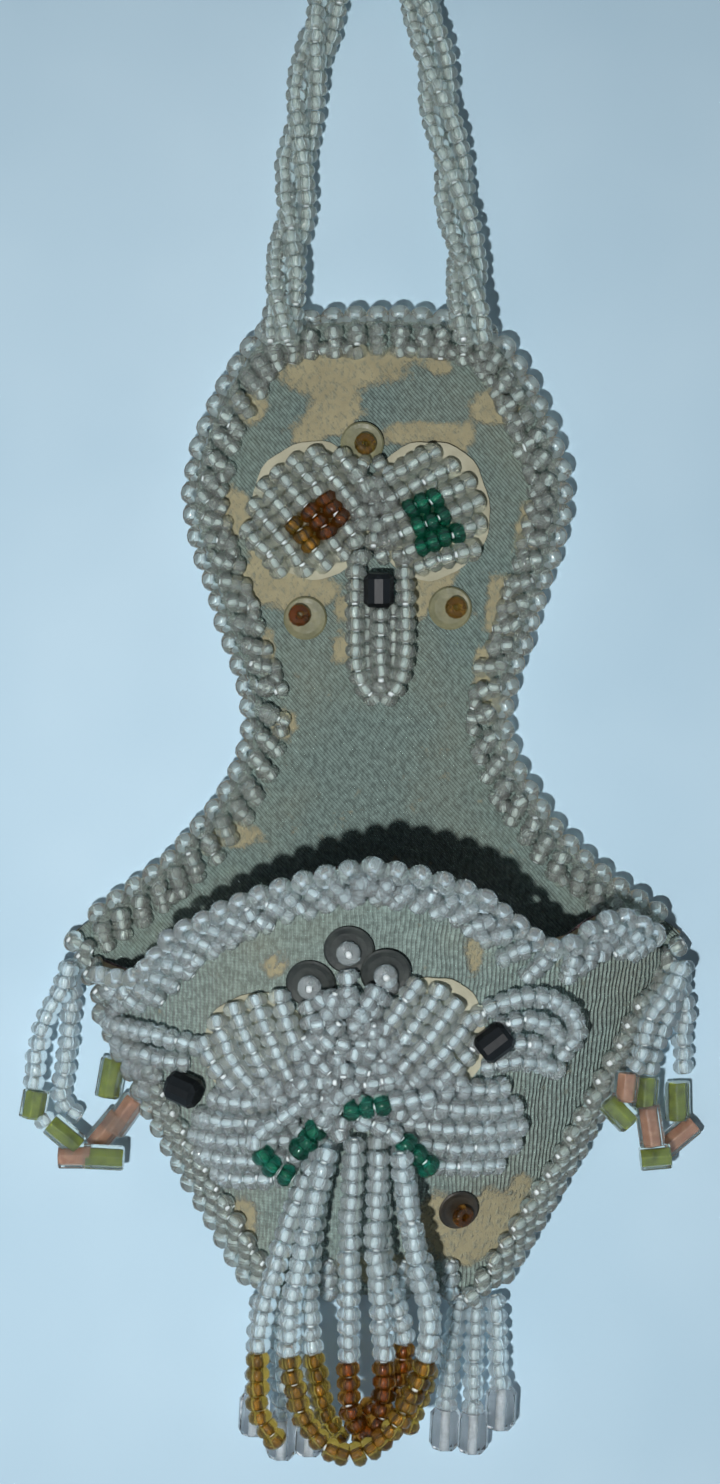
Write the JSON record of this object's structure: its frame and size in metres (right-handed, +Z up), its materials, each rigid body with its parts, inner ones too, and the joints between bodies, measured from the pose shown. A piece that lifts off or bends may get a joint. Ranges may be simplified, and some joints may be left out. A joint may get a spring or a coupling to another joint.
{
  "type": "beaded wall pocket",
  "caption": "Hourglass wall pocket of cloth over card with a bowed front, bead edging, raised floral beadwork and hanging bead fringes.",
  "frame": {"origin": "seat of the hanging strap, where the underside of its top rests on a hook", "axes": "+Z up, -Y towards the viewer, +Y towards the wall, +X to the viewer's right"},
  "size_m": [0.1158, 0.034, 0.2576],
  "materials": {
    "card": "tan pasteboard card",
    "paper": "cream paper, dull",
    "back_cloth": "worn blue-grey twill",
    "front_cloth": "worn grey-green cloth",
    "lining": "dark maroon cloth",
    "clear_glass": "clear grey seed beads on white thread",
    "gold_glass": "gold-brown glass, glossy",
    "black_glass": "black faceted glass",
    "lined_glass": "clear seed beads and colour-lined tube beads",
    "olive_sequin": "translucent olive",
    "dark_sequin": "dark grey, slightly translucent"
  },
  "bodies": {
    "pocket": {"back_board": "card", "back_cover": "back_cloth", "back_lining": "lining", "front_board": "card", "front_cover": "front_cloth", "front_lining": "lining", "back_edge_beading": "clear_glass", "mouth_edge_beading": "clear_glass", "side_seam_beading_left": "clear_glass", "side_seam_beading_right": "clear_glass", "bottom_edge_beading": "clear_glass", "strap_strand_1": "clear_glass", "strap_strand_2": "clear_glass", "strap_strand_3": "clear_glass", "upper_template": "paper", "upper_lobe_left": "clear_glass", "upper_lobe_right": "clear_glass", "upper_stem": "clear_glass", "upper_black_bead": "black_glass", "front_template_left": "paper", "front_template_right": "paper", "front_lobe_upper_left": "clear_glass", "front_lobe_upper_right": "clear_glass", "front_lobe_lower_left": "clear_glass", "front_lobe_lower_right": "clear_glass", "front_leaf_left": "clear_glass", "front_leaf_right": "clear_glass", "leaf_black_bead_left": "black_glass", "leaf_black_bead_right": "black_glass", "sequin_top": "olive_sequin", "sequin_top_bead": "gold_glass", "sequin_left": "olive_sequin", "sequin_left_bead": "gold_glass", "sequin_right": "olive_sequin", "sequin_right_bead": "gold_glass", "sequin_low": "dark_sequin", "sequin_low_bead": "gold_glass", "trefoil_sequin_top": "dark_sequin", "trefoil_sequin_left": "dark_sequin", "trefoil_sequin_right": "dark_sequin", "trefoil_bead_top": "clear_glass", "trefoil_bead_left": "clear_glass", "trefoil_bead_right": "clear_glass"},
    "centre_fringe": {"centre_loop_1": "clear_glass", "centre_loop_2": "clear_glass", "centre_loop_3": "clear_glass", "centre_loop_4": "clear_glass", "centre_loop_5": "clear_glass", "centre_loop_6": "clear_glass"},
    "corner_fringe_left": {"corner_loop_left_1": "lined_glass", "corner_loop_left_2": "lined_glass"},
    "corner_fringe_right": {"corner_loop_right_1": "lined_glass", "corner_loop_right_2": "lined_glass", "corner_loop_right_3": "lined_glass"},
    "bottom_fringe_left": {"bottom_strand_left_1": "clear_glass", "bottom_strand_left_2": "clear_glass", "bottom_strand_left_3": "clear_glass"},
    "bottom_fringe_right": {"bottom_strand_right_1": "clear_glass", "bottom_strand_right_2": "clear_glass", "bottom_strand_right_3": "clear_glass"}
  },
  "joints": [
    {"name": "centre_fringe_swing", "type": "hinge", "parent": "pocket", "child": "centre_fringe", "pos_m": [-0.002, -0.0169, -0.1955], "axis": [-1, 0, 0], "range_deg": [0, 60]},
    {"name": "corner_fringe_left_swing", "type": "hinge", "parent": "pocket", "child": "corner_fringe_left", "pos_m": [-0.0522, -0.0004, -0.168], "axis": [-1, 0, 0], "range_deg": [0, 60]},
    {"name": "corner_fringe_right_swing", "type": "hinge", "parent": "pocket", "child": "corner_fringe_right", "pos_m": [0.053, -0.0024, -0.168], "axis": [-1, 0, 0], "range_deg": [0, 60]},
    {"name": "bottom_fringe_left_swing", "type": "hinge", "parent": "pocket", "child": "bottom_fringe_left", "pos_m": [-0.0167, -0.0006, -0.2239], "axis": [-1, 0, 0], "range_deg": [0, 20]},
    {"name": "bottom_fringe_right_swing", "type": "hinge", "parent": "pocket", "child": "bottom_fringe_right", "pos_m": [0.0175, -0.0006, -0.2239], "axis": [-1, 0, 0], "range_deg": [0, 20]}
  ]
}
